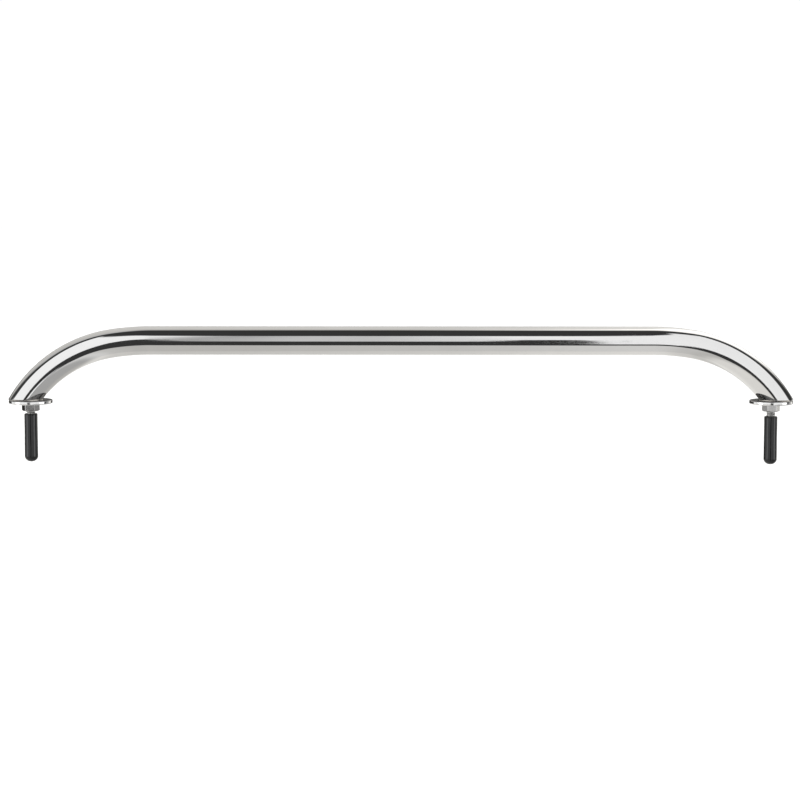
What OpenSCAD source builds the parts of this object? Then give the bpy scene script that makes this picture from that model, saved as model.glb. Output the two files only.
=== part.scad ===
// Stud-mounted grab rail for a boat deck: one bent stainless tube welded to two round base plates,
// each with a threaded stud that goes down through the deck. A hex nut is run up every stud, and a
// soft vinyl cap protects the thread. Millimetres, +Z up.
// The origin is on the deck, midway between the studs. +X runs along the bar.

/* [Rail] */
// Distance between the two studs, centre to centre
stud_spacing = 660.4; // [450:0.1:900]
// Outer diameter of the tube
tube_d = 25.4; // [20:0.1:31]
// Wall thickness of the tube
tube_wall = 1.25; // [0.8:0.05:2]
// Height of the bar's axis over the deck
bar_height = 56.2; // [46:0.1:76]

/* [Bends] */
// Axis radius of the slow bend that leads in from the straight bar
lead_radius = 223; // [180:1:280]
// Angle turned by the slow bend
lead_angle = 9; // [4:0.5:14]
// Axis radius of the main bend, which runs on down to the base plate
bend_radius = 114.3; // [94:0.1:150]
// How much the tube's radius draws in at the start of each bend
bend_draw = 0.04; // [0.02:0.01:0.1]
// How far outboard of the stud the tube's axis meets the base plate
foot_offset = 5.3; // [4:0.1:6.4]

/* [Base plates] */
// How far a base plate reaches outboard past the tube's bore, which it closes
foot_seat = 0.56; // [0.3:0.02:4]
// Thickness of a base plate
plate_t = 3.2; // [2.4:0.1:5]
// Chamfer around both edges of a base plate
plate_edge = 0.5; // [0.2:0.1:1]
// Radial clearance of the stud in the base plate's hole
stud_hole_gap = 0.1; // [0.05:0.05:0.4]

/* [Studs] */
// Outer diameter of the stud's thread
stud_d = 7.94; // [6:0.01:9.6]
// Length of a stud below the base plate
stud_len = 50.8; // [40:0.1:76]
// Length of the stud's stub above the base plate, inside the tube
stud_stub = 2.4; // [1.5:0.1:4]
// Chamfer at the stud's lower end
stud_tip = 1.0; // [0.5:0.1:1.5]

/* [Welds] */
// Width and height of the seam between tube and base plate
foot_weld_leg = 1.0; // [0.6:0.1:1.6]
// Width and height of the fillet between stud and base plate, inside the tube
stud_weld_leg = 2.0; // [1:0.1:2.4]
// Gap left between a weld's solid and what it is laid against
weld_gap = 0.02; // [0.01:0.01:0.05]

/* [Nuts] */
// Width of a nut across its flats
nut_af = 13.9; // [12:0.1:17]
// Height of a nut
nut_h = 6.8; // [5:0.1:8]
// Radial clearance between the stud's thread and the nut's bore
nut_gap = 0.05; // [0.02:0.01:0.1]
// Angle of the chamfer on a nut's corners, from its end face
nut_chamfer = 30; // [15:1:35]

/* [Thread caps] */
// Wall thickness of a cap
cap_wall = 1.88; // [1.2:0.02:3]
// Overall length of a cap
cap_len = 43.2; // [32:0.1:44]
// Thickness of a cap's closed end
cap_end = 1.4; // [1:0.1:3]
// Thinnest place in a cap's wall, at the corner of its closed end
cap_corner = 0.4; // [0.2:0.05:0.8]
// Radius around the lip of a cap's mouth
cap_lip = 0.6; // [0.3:0.1:0.7]
// Radial clearance between the stud's thread and a cap
cap_gap = 0.05; // [0.02:0.01:0.1]
// Space between the left stud's end and the inside of its cap
left_cap_space = 0.1; // [0.1:0.1:3]
// Space between the right stud's end and the inside of its cap
right_cap_space = 2.2; // [0.1:0.1:3]

/* [Hidden] */
// Steps per full turn around a round shape, and along a bend
round_steps = 64;
path_steps = 240;
$fn = round_steps;
steel = "gainsboro";
vinyl = "#26282b";

tube_r = tube_d / 2;
bore_r = tube_r - tube_wall;
stud_r = stud_d / 2;
stud_x = stud_spacing / 2;
foot_x = stud_x + foot_offset;

// The bar's axis drops through the slow bend, then through the main bend, to the plate's top.
lead_drop = lead_radius * (1 - cos(lead_angle));
main_drop = bar_height - plate_t - lead_drop;
foot_angle = acos(cos(lead_angle) - main_drop / bend_radius);
main_x = foot_x - bend_radius * sin(foot_angle);
main_z = plate_t - bend_radius * cos(foot_angle);
bar_half = main_x + bend_radius * sin(lead_angle) - lead_radius * sin(lead_angle);
// The main bend is carried on until its outer side is below the plate's top, and cut off there.
run_out = 2;
cut_angle = acos((plate_t - main_z) / (bend_radius + tube_r)) + run_out;
// The outboard side of the tube's bore at the plate's top, which sets the plate's radius
foot_bore_x = main_x + sqrt(pow(bend_radius + bore_r, 2) - pow(plate_t - main_z, 2));
plate_r = foot_bore_x - stud_x + foot_seat;
// A cap's outer radius, and the largest rounding of its end that leaves its corner thick enough
cap_r = stud_r + cap_gap + cap_wall;
cap_round = min(cap_wall + cap_end - cap_corner
                + sqrt(2 * (cap_wall - cap_corner) * (cap_end - cap_corner)), cap_r - cap_lip);
// Overlap of a cutting shape past the face it cuts, in millimetres, or in degrees around a bend
past = 1;
// Angle by which each bend's drawn-in bar reaches back into the stretch before it
bite = 0.5;

// One bend of a round bar in the XZ plane about the origin, turned from one angle to another.
// Angles are from straight up towards +X.
module bend(r, radius, from, to) {
    rotate([90, 0, 0]) rotate([0, 0, 90 - to])
        rotate_extrude(angle = to - from, $fn = path_steps) translate([radius, 0])
            circle(r, $fn = round_steps);
}

// The bends of one end of the rail, as a solid bar
module end_bends(r) {
    translate([bar_half, 0, bar_height - lead_radius])
        bend(r - bend_draw, lead_radius, -bite, lead_angle);
    translate([main_x, 0, main_z])
        bend(r - 2 * bend_draw, bend_radius, lead_angle - bite, cut_angle);
}

// The whole rail's path as a solid bar
module rail_bar(r) {
    translate([-bar_half, 0, bar_height]) rotate([0, 90, 0]) cylinder(h = 2 * bar_half, r = r);
    end_bends(r);
    mirror([1, 0, 0]) end_bends(r);
}

module rail_tube() {
    box_w = 2 * (foot_x + tube_d);
    color(steel) intersection() {
        difference() {
            rail_bar(tube_r);
            rail_bar(bore_r);
        }
        translate([-box_w / 2, -tube_d, plate_t]) cube([box_w, 2 * tube_d, bar_height + tube_d]);
    }
}

// side is -1 for the left end and 1 for the right end
module base_plate(side) {
    hole_r = stud_r + stud_hole_gap;
    flat_r = plate_r - plate_edge;
    color(steel) translate([side * stud_x, 0, 0]) rotate_extrude() polygon([
        [hole_r, 0], [flat_r, 0], [plate_r, plate_edge],
        [plate_r, plate_t - plate_edge], [flat_r, plate_t], [hole_r, plate_t]]);
}

// The seam around the tube's foot, kept to the plate's flat top
module foot_weld(side) {
    color(steel) intersection() {
        mirror([side < 0 ? 1 : 0, 0, 0]) translate([main_x, 0, main_z]) difference() {
            bend(tube_r + foot_weld_leg, bend_radius, lead_angle, cut_angle);
            bend(tube_r + weld_gap, bend_radius, lead_angle - past, cut_angle + past);
        }
        translate([side * stud_x, 0, plate_t]) cylinder(h = foot_weld_leg, r = plate_r - plate_edge);
    }
}

module stud(side) {
    color(steel) translate([side * stud_x, 0, 0]) rotate_extrude() polygon([
        [0, -stud_len], [stud_r - stud_tip, -stud_len], [stud_r, stud_tip - stud_len],
        [stud_r, plate_t + stud_stub], [0, plate_t + stud_stub]]);
}

module stud_weld(side) {
    r = stud_r + weld_gap;
    color(steel) translate([side * stud_x, 0, plate_t]) rotate_extrude() polygon([
        [r, 0], [r + stud_weld_leg, 0], [r, stud_weld_leg]]);
}

module hex_nut(side) {
    corner_r = nut_af / 2 / cos(30);
    bore = stud_r + nut_gap;
    mouth = bore + 0.6;
    drop = (corner_r - nut_af / 2) * tan(nut_chamfer);
    color(steel) translate([side * stud_x, 0, -nut_h]) difference() {
        intersection() {
            cylinder(h = nut_h, r = corner_r, $fn = 6);
            rotate_extrude() polygon([
                [0, 0], [nut_af / 2, 0], [corner_r, drop],
                [corner_r, nut_h - drop], [nut_af / 2, nut_h], [0, nut_h]]);
        }
        translate([0, 0, -past]) cylinder(h = nut_h + 2 * past, r = bore);
        cylinder(h = mouth - bore, r1 = mouth, r2 = bore);
        translate([0, 0, nut_h - (mouth - bore)]) cylinder(h = mouth - bore, r1 = bore, r2 = mouth);
    }
}

// Half outline of a round bar of one radius and length with both outer edges rounded
module rounded_outline(r, length, low_round, high_round) {
    module corner(y, round) {
        intersection() {
            translate([r - round, y]) circle(round);
            translate([0, y - round]) square([r, 2 * round]);
        }
    }
    translate([0, low_round]) square([r, length - low_round - high_round]);
    square([r - max(low_round, high_round), length]);
    corner(low_round, low_round);
    translate([0, length - high_round]) square([r - high_round, high_round]);
    corner(length - high_round, high_round);
}

// A cap pushed up over a stud's end, with some space left inside it
module thread_cap(side, space) {
    color(vinyl) translate([side * stud_x, 0, -stud_len - space - cap_end]) difference() {
        rotate_extrude() rounded_outline(cap_r, cap_len, cap_round, cap_lip);
        translate([0, 0, cap_end]) cylinder(h = cap_len, r = stud_r + cap_gap);
    }
}

rail_tube();
base_plate(-1);  // left_base_plate
base_plate(1);  // right_base_plate
foot_weld(-1);  // left_foot_weld
foot_weld(1);  // right_foot_weld
stud(-1);  // left_stud
stud(1);  // right_stud
stud_weld(-1);  // left_stud_weld
stud_weld(1);  // right_stud_weld
hex_nut(-1);  // left_hex_nut
hex_nut(1);  // right_hex_nut
thread_cap(-1, left_cap_space);  // left_thread_cap
thread_cap(1, right_cap_space);  // right_thread_cap
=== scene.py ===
"""Stud-mounted grab rail for a boat deck, dressed for rendering: polished tube, base plates,
welds, threaded studs, hex nuts and soft thread caps, in a plain light studio."""
import math

import bpy
import numpy as np
from bpy.props import FloatProperty, FloatVectorProperty, IntProperty, PointerProperty
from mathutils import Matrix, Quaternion, Vector


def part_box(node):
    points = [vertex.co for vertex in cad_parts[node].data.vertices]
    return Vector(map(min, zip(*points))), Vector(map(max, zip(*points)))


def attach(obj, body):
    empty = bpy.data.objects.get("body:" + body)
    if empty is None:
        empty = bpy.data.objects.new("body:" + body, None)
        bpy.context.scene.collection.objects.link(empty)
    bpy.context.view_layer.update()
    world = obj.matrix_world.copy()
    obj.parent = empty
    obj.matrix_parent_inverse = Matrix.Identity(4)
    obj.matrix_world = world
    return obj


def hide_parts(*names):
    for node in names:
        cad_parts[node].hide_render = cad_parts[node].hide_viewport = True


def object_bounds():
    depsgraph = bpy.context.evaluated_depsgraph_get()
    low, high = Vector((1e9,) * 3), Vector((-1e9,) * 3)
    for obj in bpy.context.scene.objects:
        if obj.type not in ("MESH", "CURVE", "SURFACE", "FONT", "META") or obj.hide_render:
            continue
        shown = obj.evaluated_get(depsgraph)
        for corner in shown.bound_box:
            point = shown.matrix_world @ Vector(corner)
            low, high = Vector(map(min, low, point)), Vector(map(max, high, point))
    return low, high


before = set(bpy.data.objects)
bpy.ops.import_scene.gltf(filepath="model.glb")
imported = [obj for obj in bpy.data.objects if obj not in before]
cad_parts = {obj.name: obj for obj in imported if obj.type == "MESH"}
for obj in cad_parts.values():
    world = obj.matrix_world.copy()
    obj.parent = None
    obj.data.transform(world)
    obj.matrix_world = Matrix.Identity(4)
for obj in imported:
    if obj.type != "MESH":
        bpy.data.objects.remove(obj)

CAD_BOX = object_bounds()

bl_info = {
    "name": "Deck grab rail",
    "version": (1, 0, 0),
    "blender": (4, 5, 0),
    "location": "3D View > Sidebar > Grab Rail",
    "description": "Builds a stud-mounted stainless grab rail over its packed CAD frame",
    "category": "Add Mesh",
}

TURN = 2 * math.pi
SIDES = (("left", -1.0), ("right", 1.0))


def measured():
    """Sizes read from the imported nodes, in metres, as a dict for the property defaults."""
    tube, plate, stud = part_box("rail_tube"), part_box("right_base_plate"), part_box("right_stud")
    nut, cap, other_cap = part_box("right_hex_nut"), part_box("right_thread_cap"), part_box("left_thread_cap")
    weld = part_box("right_foot_weld")
    tube_r = (tube[1][1] - tube[0][1]) / 2
    return {
        "tube_d": 2 * tube_r,
        "bar_height": tube[1][2] - tube_r,
        "stud_x": (stud[0][0] + stud[1][0]) / 2,
        "plate_r": (plate[1][1] - plate[0][1]) / 2,
        "plate_t": plate[1][2],
        "stud_r": (stud[1][1] - stud[0][1]) / 2,
        "stud_low": stud[0][2],
        "stud_high": stud[1][2],
        "nut_af": min(nut[1][0] - nut[0][0], nut[1][1] - nut[0][1]),
        "nut_h": nut[1][2] - nut[0][2],
        "cap_r": (cap[1][1] - cap[0][1]) / 2,
        "cap_len": cap[1][2] - cap[0][2],
        "weld_leg": weld[1][2] - weld[0][2],
        "cap_low": {"right": cap[0][2], "left": other_cap[0][2]},
    }


CAD = measured()


def length(name, text, value):
    """A length property in metres."""
    return FloatProperty(name=name, description=text, default=value, min=0.0,
                         unit="LENGTH", subtype="DISTANCE", precision=5)


def tint(name, text, value):
    """A colour property."""
    return FloatVectorProperty(name=name, description=text, default=value, size=3, min=0.0,
                               max=1.0, subtype="COLOR")


def share(name, text, value, top=1.0):
    """A plain factor property."""
    return FloatProperty(name=name, description=text, default=value, min=0.0, max=top, precision=4)


def angle(name, text, degrees):
    """An angle property, given in degrees."""
    return FloatProperty(name=name, description=text, default=math.radians(degrees),
                         subtype="ANGLE", unit="ROTATION")


class GRABRAIL_PG_sizes(bpy.types.PropertyGroup):
    """Sizes of the rail's pieces."""
    tube_d: length("Tube diameter", "Outer diameter of the tube", CAD["tube_d"])
    tube_wall: length("Tube wall", "Wall thickness of the tube", 0.00125)
    bar_height: length("Bar height", "Height of the bar's axis over the deck", CAD["bar_height"])
    lead_radius: length("Lead-in radius", "Axis radius of the slow bend", 0.223)
    lead_angle: angle("Lead-in angle", "Angle turned by the slow bend", 9.0)
    bend_radius: length("Bend radius", "Axis radius of the main bend", 0.1143)
    bend_draw: length("Bend draw", "How much the tube's radius draws in over a bend", 0.00008)
    foot_offset: length("Foot offset", "Outboard shift of the tube's axis from the stud", 0.0053)
    foot_dress: length("Foot dressing", "Rounding ground on the tube's overhanging corner", 0.0009)
    plate_round: length("Plate rim rounding", "Rounding of a base plate's rim", 0.00095)
    stud_hole: length("Stud hole clearance", "Radial clearance of the stud in a plate", 0.0001)
    thread_pitch: length("Thread pitch", "Distance between two thread crests", 0.0254 / 18)
    thread_depth: length("Thread depth", "Radial depth of the stud's thread", 0.00082)
    nut_bore_gap: length("Nut bore clearance", "Radial clearance between stud and nut", 0.00005)
    cap_end: length("Cap end", "Thickness of a cap's closed end", 0.0014)
    cap_gap: length("Cap clearance", "Radial clearance between stud and cap", 0.00005)
    around: IntProperty(name="Columns around the tube", description="Mesh columns around the tube",
                        default=112, min=24, max=160)


class GRABRAIL_PG_finish(bpy.types.PropertyGroup):
    """Colours and roughness of the finishes."""
    steel: tint("Polished steel", "Colour of the polished tube and plates", (0.80, 0.795, 0.785))
    steel_rough: share("Polish roughness", "Roughness of the polished steel", 0.045)
    weld: tint("Weld steel", "Colour of the weld beads", (0.60, 0.585, 0.56))
    thread: tint("Thread steel", "Colour of the rolled stud", (0.66, 0.655, 0.64))
    nut: tint("Nut steel", "Colour of the nuts", (0.50, 0.495, 0.485))
    vinyl: tint("Cap vinyl", "Colour of the thread caps", (0.003, 0.0031, 0.0033))
    vinyl_rough: share("Vinyl roughness", "Roughness of the thread caps", 0.11)


class GRABRAIL_PG_studio(bpy.types.PropertyGroup):
    """Floor, light and camera."""
    floor: tint("Floor colour", "Colour of the studio floor", (0.9, 0.9, 0.895))
    floor_drop: length("Floor drop", "How far the floor lies below the deck plane", 0.17)
    key: share("Top light", "Strength of the soft light from above", 2.2, 20.0)
    camera_far: length("Camera distance", "Distance from the camera to the rail", 2.2)
    camera_tilt: angle("Camera elevation", "Height angle of the camera", 6.0)
    camera_roll: angle("Camera roll", "Turn of the camera about its axis", 0.04)
    frame_wide: length("Framed width", "Width seen at the rail", 0.7136)


def settings(context):
    """The scene's sizes and finishes."""
    return context.scene.grabrail_sizes, context.scene.grabrail_finish


def placed(name, data):
    """A new object around the given data, linked into the scene."""
    made = bpy.data.objects.new(name, data)
    bpy.context.scene.collection.objects.link(made)
    return made


# ---------------------------------------------------------------- surfaces

def quads(rows, cols, wrap_rows):
    """Corner numbers of a grid's quads, columns always closed: (i,j), (i,j+1), (i+1,j+1), (i+1,j)."""
    i, j = np.meshgrid(np.arange(rows if wrap_rows else rows - 1), np.arange(cols), indexing="ij")
    down, across = (i + 1) % rows, (j + 1) % cols
    return np.stack([i * cols + j, i * cols + across, down * cols + across, down * cols + j],
                    axis=-1).reshape(-1, 4)


def signed_volume(points, faces):
    """Six times the volume inside a closed shell, the sum of a.(b x c) over its triangles. It is
    negative where the faces look inwards."""
    a, b, c = (points[faces[:, k]] for k in (0, 1, 2))
    volume = np.einsum("ij,ij->", a, np.cross(b, c))
    if faces.shape[1] == 4:
        volume += np.einsum("ij,ij->", a, np.cross(c, points[faces[:, 3]]))
    return volume


def skin(name, grid, wrap_rows=False, fields=None):
    """A closed mesh from a grid of points. Columns close round. Rows close round too, or end in a
    fan to the mean of the end row. Each field, a number or vector per point, is an attribute."""
    rows, cols = grid.shape[:2]
    points = grid.reshape(-1, 3)
    four = quads(rows, cols, wrap_rows)
    three = np.zeros((0, 3), int)
    ends = []
    if not wrap_rows:
        j = np.arange(cols)
        n = rows * cols
        ends = [0, rows - 1]
        points = np.concatenate([points, grid[0].mean(0)[None], grid[-1].mean(0)[None]])
        after, last = (j + 1) % cols, (rows - 1) * cols
        three = np.concatenate([np.stack([np.full(cols, n), after, j], axis=1),
                                np.stack([np.full(cols, n + 1), last + j, last + after], axis=1)])
    if signed_volume(points, four) + signed_volume(points, three) < 0:
        four, three = four[:, ::-1], three[:, ::-1]
    corners = np.concatenate([four.ravel(), three.ravel()])
    counts = np.concatenate([np.full(len(four), 4), np.full(len(three), 3)])
    starts = np.concatenate([[0], np.cumsum(counts)[:-1]])
    mesh = bpy.data.meshes.new(name)
    mesh.vertices.add(len(points))
    mesh.vertices.foreach_set("co", points.astype(np.float32).ravel())
    mesh.loops.add(len(corners))
    mesh.loops.foreach_set("vertex_index", corners.astype(np.int32))
    mesh.polygons.add(len(counts))
    mesh.polygons.foreach_set("loop_start", starts.astype(np.int32))
    mesh.update(calc_edges=True)
    for key, values in (fields or {}).items():
        flat = values.reshape(rows * cols, -1)
        flat = np.concatenate([flat] + [flat.reshape(rows, cols, -1)[e].mean(0)[None] for e in ends])
        kind, part = ("FLOAT", "value") if flat.shape[1] == 1 else ("FLOAT_VECTOR", "vector")
        mesh.attributes.new(key, kind, "POINT").data.foreach_set(
            part, flat.astype(np.float32).ravel())
    mesh.shade_smooth()
    if mesh.validate():
        raise RuntimeError(f"{name}: the surface has a face that isn't valid")
    return placed(name, mesh)


def softened(rows, radii, steps=4, closed=True):
    """Rows of a profile with every corner rounded. Corner k becomes a quadratic Bezier whose ends
    lie its radius along each neighbouring side, at most a share of that side, and whose middle
    control point is the corner: (1-t)^2 a + 2 t (1-t) corner + t^2 b."""
    most, tiny = 0.45, 1e-9
    out = []
    count = len(rows)
    t = np.linspace(0, 1, steps + 1).reshape(-1, *([1] * rows[0].ndim))
    for k, corner in enumerate(rows):
        if radii[k] <= 0 or (not closed and k in (0, count - 1)):
            out.append(corner[None])
            continue
        back, ahead = rows[k - 1] - corner, rows[(k + 1) % count] - corner
        reach = [np.linalg.norm(v, axis=-1, keepdims=True) for v in (back, ahead)]
        a, b = (corner + v * np.minimum(radii[k] / np.maximum(r, tiny), most)
                for v, r in zip((back, ahead), reach))
        out.append((1 - t) ** 2 * a + 2 * t * (1 - t) * corner + t ** 2 * b)
    return np.concatenate(out)


def filled(rows, longest):
    """The same rows with more put evenly between any two that lie further apart than the longest."""
    out = [rows[:1]]
    for a, b in zip(rows[:-1], rows[1:]):
        n = max(1, int(math.ceil(float(np.linalg.norm(b - a, axis=-1).max()) / longest)))
        t = np.linspace(0, 1, n + 1)[1:].reshape(-1, *([1] * a.ndim))
        out.append(a + (b - a) * t)
    return np.concatenate(out)


def around(cols):
    """Angles of evenly spaced columns round an axis."""
    return np.arange(cols) / cols * TURN


def turned(profile, cols, x):
    """A lathe surface: profile rows (radius, height) carried round the upright axis at x:
    (x + radius cos a, radius sin a, height)."""
    a = around(cols)
    r, z = profile[..., 0], profile[..., 1]
    if r.ndim == 1:
        r, z = r[:, None], z[:, None]
    r, z = np.broadcast_arrays(r, z + 0 * a)
    return np.stack([x + r * np.cos(a), r * np.sin(a), z], axis=-1)


def eased(t):
    """Smooth step 3t^2 - 2t^3 of a value cut to 0..1."""
    t = np.clip(t, 0, 1)
    return t * t * (3 - 2 * t)


class Bends:
    """The rail's path for its right half. It runs straight, then turns by the slow bend's angle on
    the slow radius, then turns on the main radius until it meets the plate's top."""

    def __init__(self, s):
        self.s = s
        self.top = CAD["plate_t"]
        drop = s.lead_radius * (1 - math.cos(s.lead_angle))
        turn = math.acos(math.cos(s.lead_angle) - (s.bar_height - self.top - drop) / s.bend_radius)
        self.x = CAD["stud_x"] + s.foot_offset - s.bend_radius * math.sin(turn)
        self.z = self.top - s.bend_radius * math.cos(turn)
        self.half = self.x + (s.bend_radius - s.lead_radius) * math.sin(s.lead_angle)

    def wall(self, radius, phi, z):
        """The bent tube's wall at one height: with p = bend radius + radius sin(phi), the point is
        (x + sqrt(p^2 - (z - centre z)^2), -radius cos(phi), z)."""
        p = self.s.bend_radius + radius * np.sin(phi)
        x = self.x + np.sqrt(np.maximum(p ** 2 - (z - self.z) ** 2, 0))
        return np.stack(np.broadcast_arrays(x, -radius * np.cos(phi), z), axis=-1)

    def half_tube(self, radius, phi, dress, counts):
        """Rows from mid-bar to the foot. Straight: (x, -r cos phi, h + r sin phi). In a bend about
        (cx, cz): p = R + r sin phi, point (cx + p sin a, -r cos phi, cz + p cos a). Every column
        turns on to the angle at which it meets the plate plus its dressing, then rounds over."""
        s, straight, lead, main = self.s, *counts
        end_r = radius - s.bend_draw
        x = np.linspace(0, self.half, straight)[:, None]
        parts = [np.stack(np.broadcast_arrays(x, -radius * np.cos(phi),
                                              s.bar_height + radius * np.sin(phi)), axis=-1)]
        run = [x]
        a = np.linspace(0, s.lead_angle, lead + 1)[1:, None]
        r = radius - 0.5 * s.bend_draw * eased(a / s.lead_angle)
        p = s.lead_radius + r * np.sin(phi)
        parts.append(np.stack([self.half + p * np.sin(a), -r * np.cos(phi) + 0 * a,
                               s.bar_height - s.lead_radius + p * np.cos(a)], axis=-1))
        run.append(self.half + a * s.lead_radius)
        bunching = 0.9
        t = np.linspace(0, 1, main + 1)[1:, None] ** bunching
        p = s.bend_radius + end_r * np.sin(phi)
        last = np.arccos((self.top + dress - self.z) / p)
        a = s.lead_angle + (last - s.lead_angle) * t
        r = radius - s.bend_draw * (0.5 + 0.5 * eased(t * 3))
        p = s.bend_radius + r * np.sin(phi)
        parts.append(np.stack([self.x + p * np.sin(a), -r * np.cos(phi) + 0 * a,
                               self.z + p * np.cos(a)], axis=-1))
        run.append(self.half + s.lead_angle * s.lead_radius
                   + (a - s.lead_angle) * s.bend_radius)
        if np.max(dress) > 0:
            out = np.stack([np.sin(phi) * np.sin(last), -np.cos(phi), 0 * phi], axis=-1)
            out /= np.linalg.norm(out, axis=-1, keepdims=True)
            q = np.linspace(0, math.pi / 2, 7)[1:, None]
            rim = self.wall(end_r, phi, self.top + dress * (1 - np.sin(q)))
            rim = rim - (dress * (1 - np.cos(q)))[..., None] * out
            parts.append(rim)
            run.append(run[-1][-1] + dress * q)
        return np.concatenate(parts), np.concatenate([np.broadcast_to(v, (len(v), phi.size))
                                                      for v in run])


def mirrored(rows):
    """The rows of the left half: x turned round, in reverse order."""
    return rows[::-1] * np.array([-1.0, 1.0, 1.0])


def thread_wave(turns):
    """Height of a rolled thread from 0 at its root to 1 at its crest, for a position in turns: the
    triangle wave |2 frac - 1| stretched past its flats and eased at both."""
    root_flat, flank = 0.16, 0.66
    saw = np.abs(2 * (turns - np.floor(turns)) - 1)
    return eased((saw - root_flat) / flank)


# ---------------------------------------------------------------- materials

class Nodes:
    """Short calls for laying out a node tree. A value is a plain number or another socket."""

    def __init__(self, tree):
        self.tree, self.at = tree, 0

    def put(self, kind, **settings):
        node = self.tree.nodes.new(kind)
        self.at += 1
        node.location = (self.at % 8 * 200 - 1800, -(self.at // 8) * 220)
        for key, value in settings.items():
            setattr(node, key, value)
        return node

    def feed(self, socket, value):
        if isinstance(value, bpy.types.NodeSocket):
            self.tree.links.new(value, socket)
        else:
            socket.default_value = value

    def give(self, node, **values):
        """Feeds several sockets of a node by name, with _ for a space."""
        for key, value in values.items():
            self.feed(node.inputs[key.replace("_", " ")], value)

    def math(self, operation, *values, clamp=False):
        node = self.put("ShaderNodeMath", operation=operation, use_clamp=clamp)
        for socket, value in zip(node.inputs, values):
            self.feed(socket, value)
        return node.outputs[0]

    def chained(self, operation, values):
        result = values[0]
        for value in values[1:]:
            result = self.math(operation, result, value)
        return result

    def times(self, *values):
        return self.chained("MULTIPLY", values)

    def plus(self, *values):
        return self.chained("ADD", values)

    def minus(self, a, b):
        return self.math("SUBTRACT", a, b)

    def ramp(self, value, low, high, start=0.0, end=1.0, kind="SMOOTHSTEP"):
        node = self.put("ShaderNodeMapRange", interpolation_type=kind)
        for key, given in zip(("Value", "From Min", "From Max", "To Min", "To Max"),
                              (value, low, high, start, end)):
            self.feed(node.inputs[key], given)
        return node.outputs["Result"]

    def ramps(self, value, *each):
        """The sum of several ramps of one value."""
        return self.plus(*(self.ramp(value, *given) for given in each))

    def above(self, value, limit, soft):
        return self.ramp(self.minus(value, limit), -soft, soft)

    def below(self, value, limit, soft):
        return self.ramp(self.minus(value, limit), -soft, soft, 1.0, 0.0)

    def band(self, value, low, top, soft):
        """1 between two values and 0 beyond them."""
        return self.minus(self.ramp(value, low - soft, low + soft),
                          self.ramp(value, top - soft, top + soft))

    def blend(self, factor, a, b):
        node = self.put("ShaderNodeMix", data_type="RGBA")
        self.feed(node.inputs["Factor"], factor)
        for key, value in ((6, a), (7, b)):
            if not isinstance(value, bpy.types.NodeSocket) and len(value) == 3:
                value = (*value, 1.0)
            self.feed(node.inputs[key], value)
        return node.outputs[2]

    def noise(self, vector, scale, detail=3.0, rough=0.5):
        node = self.put("ShaderNodeTexNoise")
        self.give(node, Vector=vector, Scale=scale, Detail=detail, Roughness=rough)
        return node.outputs["Fac"]

    def stretched(self, vector, amount):
        node = self.put("ShaderNodeMapping")
        self.give(node, Vector=vector, Scale=amount)
        return node.outputs["Vector"]

    def field(self, name, output="Vector"):
        return self.put("ShaderNodeAttribute", attribute_name=name).outputs[output]

    def here(self):
        return self.put("ShaderNodeTexCoord").outputs["Object"]


def new_group(name, takes, gives):
    """An empty node group with named inputs and outputs."""
    group = bpy.data.node_groups.new(name, "ShaderNodeTree")
    for key, kind, value in takes:
        socket = group.interface.new_socket(key, in_out="INPUT", socket_type=kind)
        if value is not None:
            socket.default_value = value
    for key, kind in gives:
        group.interface.new_socket(key, in_out="OUTPUT", socket_type=kind)
    n = Nodes(group)
    return group, n, n.put("NodeGroupInput"), n.put("NodeGroupOutput")


FLOAT, COLOUR, VECTOR = "NodeSocketFloat", "NodeSocketColor", "NodeSocketVector"


def handling_group():
    """Finger smears, dried spots and slow mottling that handling leaves on a metal surface."""
    group, n, take, give = new_group(
        "Handling marks",
        [("Vector", VECTOR, None), ("Size", FLOAT, 60.0), ("Smears", FLOAT, 1.0),
         ("Spots", FLOAT, 1.0)],
        [("Dull", FLOAT), ("Shade", FLOAT)])
    where, size = take.outputs["Vector"], take.outputs["Size"]
    slow = n.noise(where, size, 4.0, 0.6)
    smear = n.noise(n.stretched(where, (0.35, 1.0, 1.0)), n.times(size, 3.1), 5.0, 0.62)
    smear = n.times(n.ramp(slow, 0.44, 0.66), n.ramp(smear, 0.42, 0.7))
    cells = n.put("ShaderNodeTexVoronoi", feature="F1")
    n.give(cells, Vector=where, Scale=n.times(size, 4.2))
    ring = n.minus(n.ramp(cells.outputs["Distance"], 0.10, 0.13),
                   n.ramp(cells.outputs["Distance"], 0.13, 0.18))
    ring = n.times(ring, n.ramp(n.noise(where, 90.0, 2.0), 0.56, 0.66))
    dull = n.math("ADD", n.times(smear, take.outputs["Smears"]),
                  n.times(ring, take.outputs["Spots"]), clamp=True)
    n.feed(give.inputs["Dull"], dull)
    n.feed(give.inputs["Shade"], n.ramp(slow, 0.3, 0.7, 0.96, 1.0, "LINEAR"))
    return group


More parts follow.
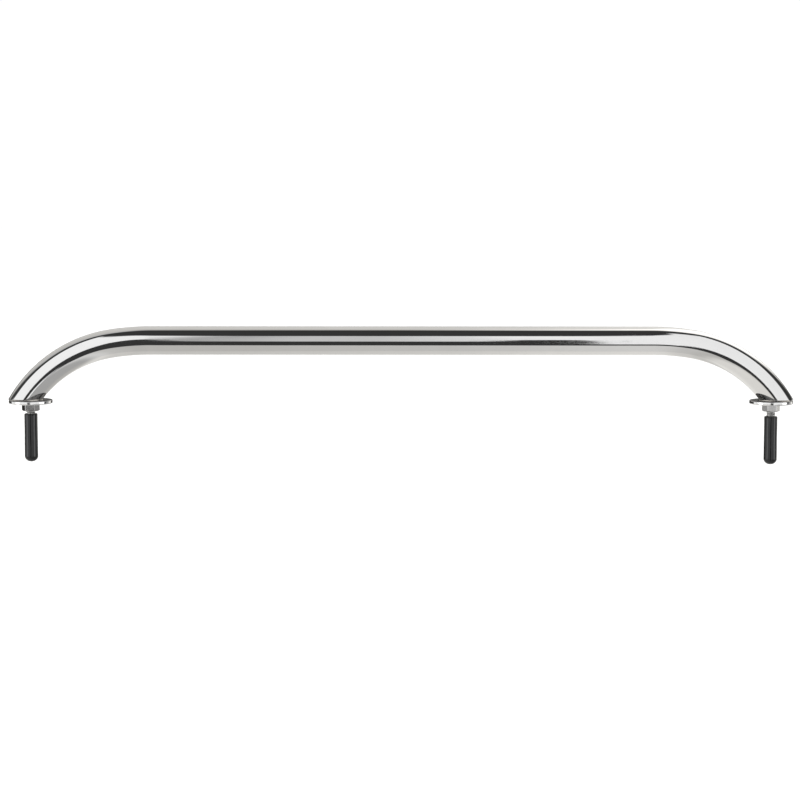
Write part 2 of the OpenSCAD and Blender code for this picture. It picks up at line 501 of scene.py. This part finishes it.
def lay_group():
    """Fine lines left by a polishing wheel or a tool along the first axis of the vector, and the
    slow waves under them, as a height."""
    group, n, take, give = new_group(
        "Polishing lay",
        [("Vector", VECTOR, None), ("Fineness", FLOAT, 1500.0), ("Lines", FLOAT, 1.0),
         ("Waves", FLOAT, 1.0)],
        [("Height", FLOAT), ("Lines", FLOAT)])
    where, fineness = take.outputs["Vector"], take.outputs["Fineness"]
    fine = n.noise(n.stretched(where, (0.012, 1.0, 1.0)), fineness, 4.0, 0.65)
    coarse = n.noise(n.stretched(where, (0.03, 1.0, 1.0)), n.times(fineness, 0.22), 2.0)
    waves = n.noise(n.stretched(where, (0.4, 1.0, 1.0)), 26.0, 1.0)
    lines = n.times(n.plus(fine, n.times(coarse, 0.6)), take.outputs["Lines"])
    n.feed(give.inputs["Height"], n.plus(lines, n.times(waves, take.outputs["Waves"])))
    n.feed(give.inputs["Lines"], fine)
    return group


GROUPS = {}


def group_node(n, name, **values):
    """One of the shared groups, placed in a material with its own values."""
    if not GROUPS:
        GROUPS.update(handling=handling_group(), lay=lay_group())
    node = n.put("ShaderNodeGroup")
    node.node_tree = GROUPS[name]
    n.give(node, **values)
    return node.outputs


def surface(name, metallic, rough, fill):
    """A material around one Principled shader. fill(nodes, shader) lays out its detail."""
    made = bpy.data.materials.new(name)
    made.use_nodes = True
    made.node_tree.nodes.clear()
    n = Nodes(made.node_tree)
    shader, out = n.put("ShaderNodeBsdfPrincipled"), n.put("ShaderNodeOutputMaterial")
    n.give(shader, Metallic=metallic, Roughness=rough)
    n.feed(out.inputs["Surface"], shader.outputs["BSDF"])
    fill(n, shader)
    return made


def dimmed(n, colour, *factors):
    """A plain colour times every varying factor."""
    node = n.put("ShaderNodeVectorMath", operation="SCALE")
    node.inputs[0].default_value = colour
    n.feed(node.inputs["Scale"], n.times(*factors))
    return node.outputs["Vector"]


def bumped(n, shader, height, distance):
    """Feeds a height in the given distance to the shader's normal."""
    node = n.put("ShaderNodeBump")
    n.give(node, Distance=distance, Strength=1.0, Height=height)
    n.give(shader, Normal=node.outputs["Normal"])


def polished_steel(finish, field):
    """Mirror-polished stainless with the wheel's lay, smears and dried spots."""
    def fill(n, shader):
        where = n.field(field)
        marks = group_node(n, "handling", Vector=where, Size=42.0, Smears=0.5, Spots=0.5)
        lay = group_node(n, "lay", Vector=where, Fineness=2600.0, Lines=0.05, Waves=1.0)
        rough = n.ramp(lay["Lines"], 0.35, 0.7, finish.steel_rough * 0.75,
                       finish.steel_rough * 1.35)
        clean = n.ramp(marks["Dull"], 0.0, 1.0, 1.0, 0.94, "LINEAR")
        n.give(shader, Roughness=n.plus(rough, n.times(marks["Dull"], 0.07)),
               Base_Color=dimmed(n, finish.steel, marks["Shade"], clean))
        bumped(n, shader, lay["Height"], 0.00003)
    return surface("Polished stainless steel", 1.0, finish.steel_rough, fill)


def plate_steel(finish):
    """Stainless plate: polished rim and underside with turned rings, and a satin top with painted shade that
    makes its colour much darker."""
    def fill(n, shader):
        rings = n.field("rings")
        split = n.put("ShaderNodeSeparateXYZ")
        n.feed(split.inputs[0], rings)
        # mask of the plate's top face, used for its satin roughness and for its painted shade
        satin_and_shade_from, satin_and_shade_to = CAD["plate_t"] - 0.00045, CAD["plate_t"] - 0.0001
        top = n.ramp(split.outputs["Z"], satin_and_shade_from, satin_and_shade_to)
        where = n.here()
        marks = group_node(n, "handling", Vector=where, Size=70.0, Smears=0.6, Spots=0.8)
        lay = group_node(n, "lay", Vector=rings, Fineness=3200.0, Lines=0.35, Waves=0.4)
        mottle = n.noise(where, 420.0, 4.0, 0.6)
        # painted shade: the top face's colour is darkened to between 7 and 22 percent of the steel, mottled
        shade = n.times(top, n.ramp(mottle, 0.3, 0.7, 0.78, 0.93))
        rough = n.plus(n.ramp(top, 0.0, 1.0, 0.06, 0.2), n.ramp(lay["Lines"], 0.3, 0.72, 0.0, 0.09),
                       n.times(marks["Dull"], 0.12))
        clean = n.ramp(marks["Dull"], 0.0, 1.0, 1.0, 0.9, "LINEAR")
        n.give(shader, Roughness=rough, Base_Color=dimmed(
            n, finish.steel, marks["Shade"], n.minus(1.0, shade), clean))
        bumped(n, shader, lay["Height"], 0.00001)
    return surface("Turned stainless plate", 1.0, 0.08, fill)


def weld_steel(finish):
    """Weld metal, brushed clean: bright ripples with a straw and blue tint along its edges."""
    def fill(n, shader):
        where = n.here()
        edge = n.field("edge", "Fac")
        marks = group_node(n, "handling", Vector=where, Size=300.0, Smears=1.0, Spots=0.0)
        warm = n.blend(n.ramp(edge, 0.35, 0.75), finish.weld, (0.46, 0.41, 0.34))
        heat = n.blend(n.ramp(edge, 0.72, 1.0), warm, (0.17, 0.18, 0.21))
        grime = n.ramp(n.noise(where, 900.0, 3.0), 0.45, 0.75, 0.0, 0.45)
        n.give(shader, Base_Color=n.blend(grime, heat, (0.40, 0.37, 0.33)),
               Roughness=n.ramp(marks["Dull"], 0.0, 1.0, 0.2, 0.42))
        bumped(n, shader, n.noise(where, 2400.0, 3.0), 0.00003)
    return surface("Brushed weld steel", 1.0, 0.28, fill)


def thread_steel(finish):
    """Rolled stainless thread: bright worn crests, and roots darker than the crests."""
    def fill(n, shader):
        where = n.here()
        crest = n.field("crest", "Fac")
        marks = group_node(n, "handling", Vector=where, Size=260.0, Smears=1.0, Spots=0.3)
        shade = n.ramp(crest, 0.0, 0.8, 0.42, 1.0)
        rough = n.plus(n.ramp(crest, 0.1, 1.0, 0.42, 0.2), n.times(marks["Dull"], 0.15))
        n.give(shader, Base_Color=dimmed(n, finish.thread, shade, marks["Shade"]), Roughness=rough)
        bumped(n, shader, n.noise(n.stretched(where, (1.0, 1.0, 6.0)), 900.0, 3.0), 0.00003)
    return surface("Rolled stainless thread", 1.0, 0.28, fill)


def nut_steel(finish):
    """Cold-formed stainless nut, tumbled: satin flats with drawn lines, polished corners."""
    def fill(n, shader):
        where = n.here()
        corner = n.field("corner", "Fac")
        marks = group_node(n, "handling", Vector=where, Size=240.0, Smears=1.0, Spots=0.6)
        lay = group_node(n, "lay", Vector=n.field("drawn"), Fineness=5200.0, Lines=1.0, Waves=0.3)
        rough = n.plus(n.ramp(lay["Lines"], 0.3, 0.7, 0.13, 0.22), n.times(marks["Dull"], 0.16),
                       n.times(corner, -0.08))
        clean = n.ramp(marks["Dull"], 0.0, 1.0, 1.0, 0.82, "LINEAR")
        worn = n.ramp(corner, 0.0, 1.0, 0.95, 1.06, "LINEAR")
        n.give(shader, Roughness=rough,
               Base_Color=dimmed(n, finish.nut, marks["Shade"], clean, worn))
        bumped(n, shader, lay["Height"], 0.000006)
    return surface("Satin stainless nut", 1.0, 0.2, fill)


def black_vinyl(finish):
    """Dip-moulded black vinyl: a skin with a faint orange peel, flow streaks down the cap, scuffs
    and a little dust."""
    def fill(n, shader):
        where = n.here()
        streak = n.noise(n.stretched(where, (1.0, 1.0, 0.08)), 700.0, 3.0)
        peel = n.noise(where, 1500.0, 2.0)
        marks = group_node(n, "handling", Vector=where, Size=170.0, Smears=1.0, Spots=0.0)
        dust = n.ramp(n.noise(where, 5200.0, 2.0, 0.7), 0.66, 0.78)
        base = n.blend(n.ramp(streak, 0.35, 0.7), finish.vinyl, (0.008, 0.0082, 0.0085))
        base = n.blend(n.times(marks["Dull"], 0.2), base, (0.04, 0.04, 0.04))
        rough = n.ramp(streak, 0.3, 0.7, finish.vinyl_rough - 0.03, finish.vinyl_rough + 0.04)
        n.give(shader, Base_Color=n.blend(n.times(dust, 0.2), base, (0.16, 0.155, 0.15)),
               Roughness=n.plus(rough, n.times(marks["Dull"], 0.16)), IOR=1.47)
        height = n.plus(n.times(peel, 0.35), n.times(streak, 0.65))
        bumped(n, shader, height, 0.00002)
    return surface("Black vinyl", 0.0, finish.vinyl_rough, fill)


def dress(piece, material, body, slot, node):
    """Gives a finished piece its material and its body, and hides the CAD node it stands for. The slot is not
    used.
    """
    piece.data.materials.append(material)
    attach(piece, body)
    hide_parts(node)


# ---------------------------------------------------------------- operators

class GRABRAIL_OT_rail_tube(bpy.types.Operator):
    """Build the polished tube, bent down at both ends to its base plates"""
    bl_idname = "grabrail.rail_tube"
    bl_label = "Rail tube"

    def execute(self, context):
        s, finish = settings(context)
        path, r, bore = Bends(s), s.tube_d / 2, s.tube_d / 2 - s.tube_wall
        phi = around(s.around) - math.pi / 2
        # the foot is only broken at its edge, and dressed round where the tube leans out over it
        least, leaning, spread = 0.00018, 0.55, 0.4
        rounding = least + (s.foot_dress - least) * eased((np.sin(phi) - leaning) / spread)
        # rows along half the straight bar, the slow bend and the main bend
        outer, run = path.half_tube(r, phi, rounding, (34, 30, 120))
        inner, deep = path.half_tube(bore, phi, 0 * phi, (8, 10, 44))
        grid = np.concatenate([mirrored(outer), outer[1:], inner[::-1], mirrored(inner)[::-1][1:]])
        along = np.concatenate([-run[::-1], run[1:], deep[::-1], -deep[1:]])
        radius = np.repeat([r, bore], [2 * len(run) - 1, 2 * len(deep) - 1])[:, None]
        flow = np.stack([along, -radius * np.cos(phi), radius * np.sin(phi)], axis=-1)
        piece = skin("polished_rail_tube", grid, wrap_rows=True, fields={"flow": flow})
        dress(piece, polished_steel(finish, "flow"), "rail", "polished_stainless", "rail_tube")
        return {"FINISHED"}


class GRABRAIL_OT_base_plates(bpy.types.Operator):
    """Build the two round base plates with their rounded rims and stud holes"""
    bl_idname = "grabrail.base_plates"
    bl_label = "Base plates"

    def execute(self, context):
        s, finish = settings(context)
        hole, rim, top = CAD["stud_r"] + s.stud_hole, CAD["plate_r"], CAD["plate_t"]
        hole_round, steps, longest, cols, swirl = 0.0002, 7, 0.0012, 180, 0.02
        corners = [np.array(p) for p in ((hole, 0.0), (rim, 0.0), (rim, top), (hole, top))]
        rows = softened(corners, (hole_round, s.plate_round, s.plate_round, hole_round), steps)
        rows = filled(np.concatenate([rows, rows[:1]]), longest)[:-1]
        rings = np.stack(np.broadcast_arrays(swirl * np.sin(around(cols)), rows[:, :1], rows[:, 1:]),
                         axis=-1)
        steel = plate_steel(finish)
        for side, sign in SIDES:
            grid = turned(rows, cols, sign * CAD["stud_x"])
            piece = skin(f"{side}_plate", grid, wrap_rows=True, fields={"rings": rings})
            dress(piece, steel, "rail", "polished_stainless", f"{side}_base_plate")
        return {"FINISHED"}


class GRABRAIL_OT_welds(bpy.types.Operator):
    """Lay the seam around each foot and the fillet around each stud's upper end"""
    bl_idname = "grabrail.welds"
    bl_label = "Welds"

    def execute(self, context):
        s, finish = settings(context)
        steel = weld_steel(finish)
        for side, sign in SIDES:
            piece = skin(f"{side}_foot_seam", *self.foot_seam(s, sign))
            dress(piece, steel, "rail", "weld_stainless", f"{side}_foot_weld")
            piece = skin(f"{side}_stud_fillet", *self.stud_fillet(s, sign))
            dress(piece, steel, "rail", "weld_stainless", f"{side}_stud_weld")
        return {"FINISHED"}

    def foot_seam(self, s, sign):
        """The bead's section runs from its root up the tube's wall, over a hollow face and back
        along the plate: root + a up + b out, its size w = min(leg, room left on the plate's flat).
        Its face swells by a ripple of sin(arc / step)."""
        path, leg, r = Bends(s), CAD["weld_leg"], s.tube_d / 2 - s.bend_draw
        reach, points, least, gap = math.radians(165), 521, 0.00004, 0.00001
        hollow, swell, ripple_step = 0.16, 0.06, 0.00085
        phi = -math.pi / 2 + np.linspace(-1, 1, points) * reach
        foot = path.wall(r, phi, path.top)
        flat = CAD["plate_r"] - s.plate_round
        room = flat - np.hypot(foot[:, 0] - CAD["stud_x"], foot[:, 1])
        keep = room > least
        phi, foot, room = phi[keep], foot[keep], room[keep]
        size = np.minimum(leg * 0.96, room)
        out = np.gradient(foot, axis=0)
        step = np.linalg.norm(out, axis=1)
        out = np.stack([out[:, 1], -out[:, 0], 0 * step], axis=1) / step[:, None]
        if np.sum(out * (foot - foot.mean(0))) < 0:
            out = -out
        arc = np.cumsum(step)
        ripple = swell * np.abs(np.sin(arc / ripple_step * math.pi)) * eased(size / leg * 1.4)
        t = np.linspace(0, 1, 9)
        up = np.concatenate([[0.0, 0.5], 1 - t, [0.0]])
        side = np.concatenate([[0.0, 0.0], t, [0.5]])
        belly = np.concatenate([[0.0, 0.0], 4 * t * (1 - t), [0.0]])
        w = size[:, None]
        lift = w * up * (1 - hollow * belly) + w * belly * ripple[:, None]
        wall = path.wall(r + 2 * gap, phi[:, None], path.top + lift)
        spread = w * side * (1 - hollow * belly) + w * belly * ripple[:, None] + gap
        grid = wall.copy()
        base = foot[:, None, :]
        lean = wall[..., :2] - base[..., :2]
        grid[..., :2] = (base[..., :2] + lean * (1 - side)[None, :, None]
                         + out[:, None, :2] * spread[..., None])
        grid[..., 0] *= sign
        edge = np.broadcast_to(np.abs(2 * side - 1), lift.shape)
        return grid, False, {"edge": edge}

    def stud_fillet(self, s, sign):
        """A ring of triangular section whose hollow face swells by a ripple of |sin(11 a)| round
        the stud."""
        low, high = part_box("right_stud_weld")
        gap, hollow, depth, ripples, cols = 0.00002, 0.12, 0.6, 11, 132
        inner, outer = CAD["stud_r"] + gap, (high[1] - low[1]) / 2
        t = np.linspace(0, 1, 7)[:, None]
        ripple = 1 + depth * np.abs(np.sin(ripples * around(cols)))
        swell = 1 - hollow * 4 * t * (1 - t) * ripple
        r = inner + (outer - inner) * t * swell
        z = low[2] + (high[2] - low[2]) * (1 - t) * swell
        r = np.concatenate([np.full((1, cols), inner), r])
        z = np.concatenate([np.full((1, cols), low[2]), z])
        grid = turned(np.stack([r, z], axis=-1), cols, sign * CAD["stud_x"])
        edge = np.broadcast_to(np.concatenate([[[1.0]], np.abs(2 * t - 1)]), r.shape)
        return grid, True, {"edge": edge}


class GRABRAIL_OT_studs(bpy.types.Operator):
    """Cut the rolled thread on both studs"""
    bl_idname = "grabrail.studs"
    bl_label = "Threaded studs"

    def execute(self, context):
        s, finish = settings(context)
        steel = thread_steel(finish)
        for side, sign in SIDES:
            grid, crest = self.thread(s, sign)
            piece = skin(f"{side}_threaded_stud", grid, fields={"crest": crest})
            dress(piece, steel, "rail", "stud_stainless", f"{side}_stud")
        return {"FINISHED"}

    def thread(self, s, sign):
        """A right-hand thread: at height z and angle a the radius is major - depth (1 - wave),
        wave taken at z / pitch - a / turn, and no more than a 45 degree chamfer allows at either
        end. Both ends close on slightly domed faces."""
        low, high, major = CAD["stud_low"], CAD["stud_high"], CAD["stud_r"]
        rows, cols, worn = 840, 56, 0.7
        low_dome, high_dome, low_flat, high_flat = 0.00012, 0.00005, 0.001, 0.0004
        a = around(cols)
        z = np.linspace(low + low_dome, high - high_dome, rows)[:, None]
        crest = thread_wave(z / s.thread_pitch - a / TURN)
        r = major - s.thread_depth * (1 - crest)
        r = np.minimum(r, np.minimum(major - low_flat + (z - low), major - high_flat + (high - z)))
        ends = np.array([0.15, 0.5, 0.8, 0.96])[:, None]
        r = np.concatenate([ends * r[0], r, ends[::-1] * r[-1]])
        z = np.concatenate([low + low_dome * ends ** 4, z, high - high_dome * ends[::-1] ** 4])
        plain = np.full((len(ends), cols), worn)
        crest = np.concatenate([plain, crest, plain])
        grid = turned(np.stack([r, z + 0 * a], axis=-1), cols, sign * CAD["stud_x"])
        return grid, crest


class GRABRAIL_OT_nuts(bpy.types.Operator):
    """Build the two hex nuts with their chamfered corners and threaded bores"""
    bl_idname = "grabrail.nuts"
    bl_label = "Hex nuts"

    def execute(self, context):
        s, finish = settings(context)
        steel = nut_steel(finish)
        for side, sign in SIDES:
            grid, fields = self.hex_body(s, side, sign)
            piece = skin(f"{side}_nut_body", grid, wrap_rows=True, fields=fields)
            dress(piece, steel, f"{side}_nut", "nut_stainless", f"{side}_hex_nut")
        return {"FINISHED"}

    def hex_body(self, s, side, sign):
        """A loop of (radius, height) rows that vary with the angle. The hexagon's radius is
        half flats / (sum over three axes of |cos(a - axis)|^p)^(1/p), whose corners are slightly
        round. The end chamfers rise by (radius - bearing) tan 30, and the bore holds a helical
        groove."""
        cols, sharpness, flat, h = 288, 110.0, CAD["nut_af"] / 2, CAD["nut_h"]
        flare, depth, fade, rows_inside = 0.0006, 0.00045, 0.0003, 66
        a = around(cols)
        axes = np.radians([30.0, 90.0, 150.0])[:, None]
        hexagon = flat / np.sum(np.abs(np.cos(a - axes)) ** sharpness, axis=0) ** (1 / sharpness)
        bore, bearing = CAD["stud_r"] + s.nut_bore_gap, flat * 0.955
        drop = (hexagon - bearing) * math.tan(math.radians(30))
        mouth = bore + flare
        one = np.ones(cols)
        corners = [np.stack([r * one, z * one], axis=-1) for r, z in (
            (bore, flare), (mouth, 0), (bearing, 0), (hexagon, drop),
            (hexagon, h - drop), (bearing, h), (mouth, h), (bore, h - flare))]
        rounds = (0, .0001, .0002, .00022, .00022, .0002, .0001, 0)
        outer = filled(softened(corners, rounds, 4, False), 0.0012)
        z = np.linspace(h - flare, flare, rows_inside)[1:-1, None]
        groove = thread_wave((z - h) / s.thread_pitch - a / TURN)
        thread = np.stack([bore + depth * groove * eased((z - flare) / fade)
                           * eased((h - flare - z) / fade), z + 0 * a], axis=-1)
        rows = np.concatenate([outer, thread])
        rows[..., 1] -= h
        r, z = rows[..., 0], rows[..., 1]
        corner = eased((hexagon / flat - 1.05) / 0.09) * eased((r - bearing) / (flat - bearing))
        grid = turned(rows, cols, sign * CAD["stud_x"])
        drawn = np.stack([r, z, r * np.sin(3 * a)], axis=-1)
        return grid, {"corner": corner, "drawn": drawn}


class GRABRAIL_OT_thread_caps(bpy.types.Operator):
    """Mould the two soft caps that slip over the studs' threads"""
    bl_idname = "grabrail.thread_caps"
    bl_label = "Thread caps"

    def execute(self, context):
        s, finish = settings(context)
        vinyl = black_vinyl(finish)
        for side, sign in SIDES:
            piece = skin(f"{side}_vinyl_cap", self.shell(s, side, sign))
            dress(piece, vinyl, f"{side}_cap", "black_vinyl", f"{side}_thread_cap")
        return {"FINISHED"}

    def shell(self, s, side, sign):
        """A lathe profile from the outside of the closed end up the wall, over the lip and down
        the bore. The wall draws in a little towards its lip and wanders by two slow waves round
        and along the cap, as a dipped skin does."""
        low, r, tall = CAD["cap_low"][side], CAD["cap_r"], CAD["cap_len"]
        bore, end = CAD["stud_r"] + s.cap_gap, s.cap_end
        nose_h, lip, draw, cols = 0.0048, 0.0009, 0.00006, 96
        q = np.linspace(0.02, 1, 22) * math.pi / 2
        nose = np.stack([r * np.sin(q) ** 0.92, nose_h * (1 - np.cos(q) ** 1.05)], axis=1)
        up = np.linspace(nose_h, tall - lip, 40)[1:]
        wall = np.stack([r - draw * eased((up - 0.012) / 0.03), up], axis=1)
        q = np.linspace(0, math.pi, 13)
        half = (wall[-1, 0] - bore) / 2
        rim = np.stack([bore + half + half * np.cos(q), tall - lip + lip * np.sin(q)], axis=1)
        down = np.linspace(tall - 0.0011, end + 0.0006, 24)
        inside = np.stack([np.full(len(down), bore), down], axis=1)
        floor = np.array([[bore * 0.97, end + 0.0002], [bore * 0.88, end], [bore * 0.4, end],
                          [bore * 0.05, end]])
        rows = np.concatenate([nose, wall, rim[1:], inside, floor])[:, None, :]
        rows = np.repeat(rows, cols, axis=1)
        r_here, z, a = rows[..., 0], rows[..., 1], around(cols)
        outside = np.arange(len(rows)) < len(nose) + len(wall)
        shift = {"left": 1.0, "right": 2.3}[side]
        wander = 0.00003 * (np.sin(2 * a + 140 * z + shift) - 1)
        wander += 0.00002 * (np.sin(3 * a - 260 * z + 2 * shift) - 1)
        r_here += np.where(outside[:, None], wander, 0) * np.minimum(r_here / r, 1)
        z += low
        return turned(rows, cols, sign * CAD["stud_x"])


class GRABRAIL_OT_studio(bpy.types.Operator):
    """Set up the pale floor, the soft light all round and the camera"""
    bl_idname = "grabrail.studio"
    bl_label = "Studio"

    def execute(self, context):
        studio = context.scene.grabrail_studio
        self.floor(studio)
        self.room(context.scene)
        self.lamp(studio)
        self.camera(context.scene, studio)
        context.scene.view_settings.view_transform = "Standard"
        return {"FINISHED"}

    def floor(self, studio):
        """A flat sheet below the rail, clear from underneath so that the underside can be seen."""
        reach = 9.0
        corners = [(reach * x, reach * y, -studio.floor_drop)
                   for x, y in ((-1, -1), (1, -1), (1, 1), (-1, 1))]
        mesh = bpy.data.meshes.new("studio_floor")
        mesh.from_pydata(corners, [], [(0, 1, 2, 3)])
        made = placed("studio_floor", mesh)

        def fill(n, shader):
            n.give(shader, Base_Color=(*studio.floor, 1.0), Specular_IOR_Level=0.0)
            clear, mix = n.put("ShaderNodeBsdfTransparent"), n.put("ShaderNodeMixShader")
            out = next(k for k in n.tree.nodes if k.bl_idname == "ShaderNodeOutputMaterial")
            behind = n.put("ShaderNodeNewGeometry").outputs["Backfacing"]
            for key, value in enumerate((behind, shader.outputs[0], clear.outputs[0])):
                n.feed(mix.inputs[key], value)
            n.feed(out.inputs["Surface"], mix.outputs[0])

        mesh.materials.append(surface("Pale studio floor", 0.0, 0.9, fill))
        made.visible_glossy = False

    def room(self, scene):
        """Soft light all round, set by direction alone. Every number beside turn (0 in front, + to
        the right), side (its size), high or aside is in degrees, and the rest are brightnesses."""
        dark, camera_white = 0.042, 1.02
        world = bpy.data.worlds.new("Light tent")
        scene.world = world
        world.use_nodes = True
        world.node_tree.nodes.clear()
        n = Nodes(world.node_tree)
        split = n.put("ShaderNodeSeparateXYZ")
        n.feed(split.inputs[0], n.put("ShaderNodeTexCoord").outputs["Generated"])
        x, y, z = split.outputs
        degrees = math.degrees(1)
        high, aside = (n.times(n.math("ARCSINE", part), degrees) for part in (z, x))
        turn = n.times(n.math("ARCTAN2", x, n.times(y, -1.0)), degrees)
        side = n.math("ABSOLUTE", turn)
        right = n.ramp(turn, -60.0, 60.0)
        # the windows' lower edge, which dips over the middle and stands up at a dark stand
        sill = n.ramps(turn, (-6.0, -4.9, 13.5, -2.7), (1.9, 2.9, 0.0, 13.0),
                       (4.2, 5.1, 0.0, -35.0), (10.0, 30.0, 0.0, 14.7), (-11.0, -8.0, -23.5, 0.0))
        above = n.plus(dark, self.windows(n, turn, side, high, right, sill),
                       self.strips(n, turn, high), self.wall(n, turn, side, high, right))
        table, sheen = self.table(n, side, high, aside, sill)
        mixed = n.put("ShaderNodeMix", data_type="FLOAT")
        for key, value in ((0, table), (2, above), (3, sheen)):
            n.feed(mixed.inputs[key], value)
        tent, white = n.put("ShaderNodeBackground"), n.put("ShaderNodeBackground")
        warm = n.plus(n.times(table, n.ramp(aside, -8.0, 12.0, 1.0, 0.3)),
                      n.ramp(side, 100.0, 130.0))
        n.give(tent, Color=n.blend(warm, (0.985, 0.99, 1.0), (1.0, 0.985, 0.955)),
               Strength=mixed.outputs[0])
        n.give(white, Color=(1.0, 1.0, 1.0, 1.0), Strength=camera_white)
        mix, out = n.put("ShaderNodeMixShader"), n.put("ShaderNodeOutputWorld")
        seen = n.put("ShaderNodeLightPath").outputs["Is Camera Ray"]
        for key, value in enumerate((seen, tent.outputs[0], white.outputs[0])):
            n.feed(mix.inputs[key], value)
        n.feed(out.inputs["Surface"], mix.outputs[0])

    def windows(self, n, turn, side, high, right, sill):
        """Two tall windows in front with a dimmer gap between them. The brow, their upper edge,
        climbs to both sides and drops again far out."""
        brow = n.plus(
            n.ramps(side, (6.0, 30.0, 41.0, 58.0, "LINEAR"), (30.0, 58.0, 0.0, 9.0, "LINEAR")),
            n.ramps(turn, (5.0, 10.0, 0.0, 4.0), (10.0, 30.0, 0.0, 8.0, "LINEAR"),
                    (30.0, 58.0, 0.0, -9.0, "LINEAR")),
            n.ramp(n.plus(side, n.times(right, -12.0)), 55.0, 82.0, 0.0, -46.0))
        jamb = n.ramp(turn, -90.0, 90.0, 91.0, 85.0, "LINEAR")
        gap = n.times(n.band(turn, -6.0, 2.4, 1.1),
                      n.ramps(turn, (-5.2, -2.2, -0.62, -0.4), (-1.0, 1.8, 0.0, 0.17)))
        return n.times(n.below(high, brow, 2.5), n.above(high, sill, 1.2),
                       n.below(side, jamb, 5.0), n.ramp(turn, -30.0, 30.0, 1.07, 0.98),
                       n.plus(1.0, gap))

    def strips(self, n, turn, high):
        """Strip lights low at both sides, and dimmer panels low behind them."""
        near = n.times(n.plus(n.band(turn, -76.0, -54.0, 4.0), n.band(turn, 56.0, 80.0, 4.0)),
                       n.band(high, -14.0, 11.0, 3.0), 1.6)
        far = n.times(n.plus(n.band(turn, -112.0, -92.0, 3.0), n.band(turn, 118.0, 142.0, 4.0),
                             n.times(n.band(turn, 98.0, 118.0, 3.0), 0.35)),
                      n.band(high, -12.0, 10.0, 3.0))
        return n.plus(near, far)

    def wall(self, n, turn, side, high, right):
        """A pale wall behind, up to a dark ceiling and brighter on the right."""
        behind = n.plus(side, n.math("MINIMUM", high, 42.0), n.times(right, -19.0))
        bright = n.plus(n.ramp(side, 110.0, 180.0, 0.56, 0.69),
                        n.times(n.ramp(turn, 60.0, 100.0),
                                n.ramps(turn, (162.0, 169.0, 0.6, 0.0), (171.0, 179.0, 0.17, 0.0))))
        return n.times(n.ramp(behind, 128.0, 150.0), n.ramp(high, 72.0, 89.0, 1.0, 0.0),
                       n.ramp(high, 9.0, 15.0), bright)

    def table(self, n, side, high, aside, sill):
        """Where a pale table is seen below, and its brightness. Its edge is near in the middle,
        and at both sides it lies just under the sill."""
        near, highest, under = -35.0, -8.0, 2.0
        edge = n.plus(near, n.times(n.ramp(side, 7.0, 9.5),
                                    n.plus(n.math("MINIMUM", sill, highest), -near - under)))
        sheen = n.plus(n.ramps(aside, (-4.5, 0.0, 0.58, 0.63), (0.0, 6.0, 0.0, 0.14),
                               (6.0, 15.0, 0.0, -0.31), (-14.0, -5.0, 0.27, 0.0)),
                       n.ramp(side, 90.0, 160.0, 0.0, 0.1))
        return n.below(high, edge, 1.2), sheen

    def lamp(self, studio):
        """One broad soft light from above for the floor and the dull surfaces."""
        data = bpy.data.lights.new("Top light", "SUN")
        data.energy, data.angle = studio.key, math.radians(80)
        made = placed("Top light", data)
        made.rotation_euler = (math.radians(18), math.radians(6), 0)
        made.visible_glossy = False

    def camera(self, scene, studio):
        """Long lens in front of the rail and a little above it, square to the bar."""
        low, high = CAD_BOX
        shift, height = -0.0008, 0.0031
        aim = Vector(((low[0] + high[0]) / 2 + shift, 0.0, height))
        tilt, far = studio.camera_tilt, studio.camera_far
        back = Vector((0.0, -math.cos(tilt), math.sin(tilt)))
        data = bpy.data.cameras.new("Studio camera")
        data.sensor_width = 36.0
        data.lens = data.sensor_width * far / studio.frame_wide
        data.clip_start, data.clip_end = 0.05, 60.0
        made = placed("Studio camera", data)
        made.location = aim + back * far
        level = (-back).to_track_quat("-Z", "Y")
        made.rotation_euler = (level @ Quaternion((0.0, 0.0, 1.0), studio.camera_roll)).to_euler()
        scene.camera = made


class GRABRAIL_PT_panel(bpy.types.Panel):
    """Lists the rail's sizes, finishes and pieces"""
    bl_idname = "GRABRAIL_PT_panel"
    bl_label = "Grab Rail"
    bl_space_type = "VIEW_3D"
    bl_region_type = "UI"
    bl_category = "Grab Rail"

    def draw(self, context):
        layout = self.layout
        for name in PROPS:
            group, box = getattr(context.scene, name), layout.box()
            for key in group.__annotations__:
                box.prop(group, key)
        for step in STEPS:
            layout.operator(step.bl_idname)


PROPS = {"grabrail_sizes": GRABRAIL_PG_sizes, "grabrail_finish": GRABRAIL_PG_finish,
         "grabrail_studio": GRABRAIL_PG_studio}
STEPS = (GRABRAIL_OT_rail_tube, GRABRAIL_OT_base_plates, GRABRAIL_OT_welds, GRABRAIL_OT_studs,
         GRABRAIL_OT_nuts, GRABRAIL_OT_thread_caps, GRABRAIL_OT_studio)
CLASSES = (*PROPS.values(), *STEPS, GRABRAIL_PT_panel)


def register():
    for cls in CLASSES:
        bpy.utils.register_class(cls)
    for name, group in PROPS.items():
        setattr(bpy.types.Scene, name, PointerProperty(type=group))


def unregister():
    for name in PROPS:
        delattr(bpy.types.Scene, name)
    for cls in reversed(CLASSES):
        bpy.utils.unregister_class(cls)


def main():
    register()
    for step in STEPS:
        group, _, name = step.bl_idname.partition(".")
        if getattr(getattr(bpy.ops, group), name)() != {"FINISHED"}:
            raise RuntimeError(f"{step.bl_label} was not finished")
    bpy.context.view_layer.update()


if __name__ == "__main__":
    main()
